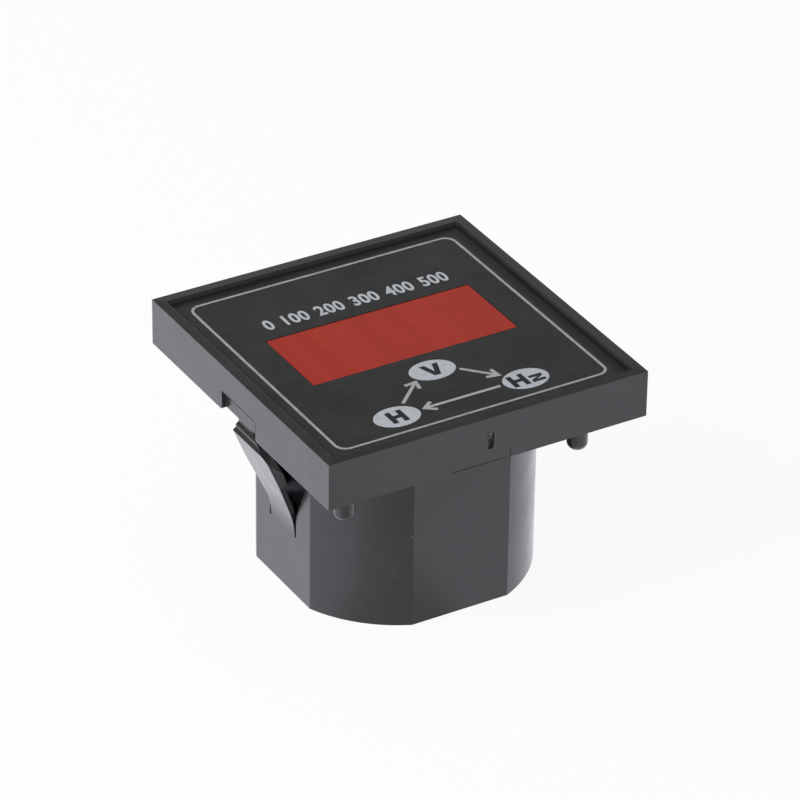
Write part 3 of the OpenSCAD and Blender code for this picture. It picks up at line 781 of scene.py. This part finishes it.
def map_smoothly(tree, source, from_low, from_high, to_low, to_high):
    made = tree_node(tree, "ShaderNodeMapRange", interpolation_type="SMOOTHSTEP")
    made.inputs["From Min"].default_value = from_low
    made.inputs["From Max"].default_value = from_high
    made.inputs["To Min"].default_value = to_low
    made.inputs["To Max"].default_value = to_high
    tree.links.new(source, made.inputs["Value"])
    return made.outputs["Result"]


def ray(tree, kind):
    """1 for rays of one kind, such as Camera, and 0 for others."""
    return tree_node(tree, "ShaderNodeLightPath").outputs["Is " + kind + " Ray"]


def mix_shaders(tree, share, first, second):
    made = tree_node(tree, "ShaderNodeMixShader")
    tree.links.new(share, made.inputs["Fac"])
    tree.links.new(first, made.inputs[1])
    tree.links.new(second, made.inputs[2])
    return made.outputs["Shader"]


FLOOR_HALF = 1.5
FLOOR_DROP = 0.05 * MM
FLOOR_WHITE_SHARE = 0.93


def studio_floor():
    """Pale floor. The camera, mirrors and glass see it nearly white, and it keeps its shadow."""
    corners = [(-1, -1), (1, -1), (1, 1), (-1, 1)]
    vertices = [(x * FLOOR_HALF, y * FLOOR_HALF, -FLOOR_DROP) for x, y in corners]
    mesh = bpy.data.meshes.new("floor")
    mesh.from_pydata(vertices, [], [(0, 1, 2, 3)])
    obj = bpy.data.objects.new("floor", mesh)
    bpy.context.scene.collection.objects.link(obj)
    material = bpy.data.materials.new("studio_floor")
    material.use_nodes = True
    tree = material.node_tree
    shader = tree.nodes["Principled BSDF"]
    shader.inputs["Base Color"].default_value = grey(0.9)
    shader.inputs["Roughness"].default_value = 0.9
    shader.inputs["Specular IOR Level"].default_value = 0.0
    tint = tree_node(tree, "ShaderNodeMix", data_type="RGBA")
    tree.links.new(ray(tree, "Glossy"), tint.inputs[0])
    tint.inputs[6].default_value = grey(1.0)
    tint.inputs[7].default_value = (0.985, 0.972, 1.05, 1)
    glow = tree_node(tree, "ShaderNodeEmission")
    tree.links.new(tint.outputs[2], glow.inputs["Color"])
    tree.links.new(dimmer_in_front(tree), glow.inputs["Strength"])
    share = white_to_views(tree, FLOOR_WHITE_SHARE)
    blend = mix_shaders(tree, share, shader.outputs["BSDF"], glow.outputs["Emission"])
    tree.links.new(blend, tree.nodes["Material Output"].inputs["Surface"])
    obj.data.materials.append(material)


def dimmer_in_front(tree):
    """1, and less in mirrors on the stretch of floor in front of the meter's near corner."""
    place = tree_node(tree, "ShaderNodeTexCoord")
    flat = tree_node(tree, "ShaderNodeVectorMath", operation="NORMALIZE")
    tree.links.new(place.outputs["Object"], flat.inputs[0])
    ahead = tree_node(tree, "ShaderNodeVectorMath", operation="DOT_PRODUCT")
    ahead.inputs[1].default_value = (-0.45, -0.893, 0)
    tree.links.new(flat.outputs["Vector"], ahead.inputs[0])
    dim = map_smoothly(tree, ahead.outputs["Value"], 0.82, 1.0, 0.0, 0.36)
    lost = combine(tree, "MULTIPLY", dim, ray(tree, "Glossy"))
    return combine(tree, "SUBTRACT", 1.0, lost)


def white_to_views(tree, share):
    """Factor that is `share` for camera, glossy and transmission rays, and 0 for others."""
    either = combine(tree, "MAXIMUM", ray(tree, "Camera"), ray(tree, "Glossy"))
    seen = combine(tree, "MAXIMUM", either, ray(tree, "Transmission"))
    return combine(tree, "MULTIPLY", seen, share)


ROOM_LIGHT = 0.38


def studio_world():
    """Even room light, white to the camera, and greyer overhead in reflections."""
    world = bpy.data.worlds.new("studio")
    bpy.context.scene.world = world
    world.use_nodes = True
    tree = world.node_tree
    room = tree.nodes["Background"]
    room.inputs["Color"].default_value = grey(1.0)
    room.inputs["Strength"].default_value = ROOM_LIGHT
    seen = tree_node(tree, "ShaderNodeBackground")
    seen.inputs["Color"].default_value = grey(1.0)
    seen.inputs["Strength"].default_value = 1.0
    mirrored = tree_node(tree, "ShaderNodeBackground")
    mirrored.inputs["Strength"].default_value = 1.0
    place = tree_node(tree, "ShaderNodeTexCoord")
    split = tree_node(tree, "ShaderNodeSeparateXYZ")
    tree.links.new(place.outputs["Generated"], split.inputs["Vector"])
    shade = map_smoothly(tree, split.outputs["Z"], 0.02, 0.62, 1.0, 0.10)
    tree.links.new(shade, mirrored.inputs["Color"])
    room_light = room.outputs["Background"]
    reflected = mix_shaders(tree, ray(tree, "Glossy"), room_light, mirrored.outputs["Background"])
    to_views = combine(tree, "MAXIMUM", ray(tree, "Camera"), ray(tree, "Transmission"))
    whole = mix_shaders(tree, to_views, reflected, seen.outputs["Background"])
    tree.links.new(whole, tree.nodes["World Output"].inputs["Surface"])


def softbox(name, place, aim, size, power):
    light = bpy.data.lights.new(name, "AREA")
    light.shape = "DISK"
    light.size = size
    light.energy = power
    obj = bpy.data.objects.new(name, light)
    obj.location = place
    obj.rotation_euler = (Vector(aim) - Vector(place)).to_track_quat("-Z", "Y").to_euler()
    bpy.context.scene.collection.objects.link(obj)


def studio_camera():
    """The photograph's view: from the front left, 31 degrees above the table, with a long lens."""
    camera = bpy.data.cameras.new("camera")
    camera.sensor_width = 36
    camera.lens = 227.07
    camera.clip_start = 0.02
    camera.clip_end = 20
    obj = bpy.data.objects.new("camera", camera)
    obj.location = (-0.30449, -0.51493, 0.38854)
    tilt = math.radians(58.6754)
    roll = math.radians(-0.6913)
    heading = math.radians(-30.2226)
    obj.rotation_euler = Euler((tilt, roll, heading), "XYZ")
    bpy.context.scene.collection.objects.link(obj)
    bpy.context.scene.camera = obj


studio_floor()
studio_world()
middle = (0, 0, 0.02)
softbox("key_left", (-0.55, 0.10, 0.38), middle, 0.5, 3.6)
studio_camera()

scene = bpy.context.scene
scene.view_settings.view_transform = "Standard"
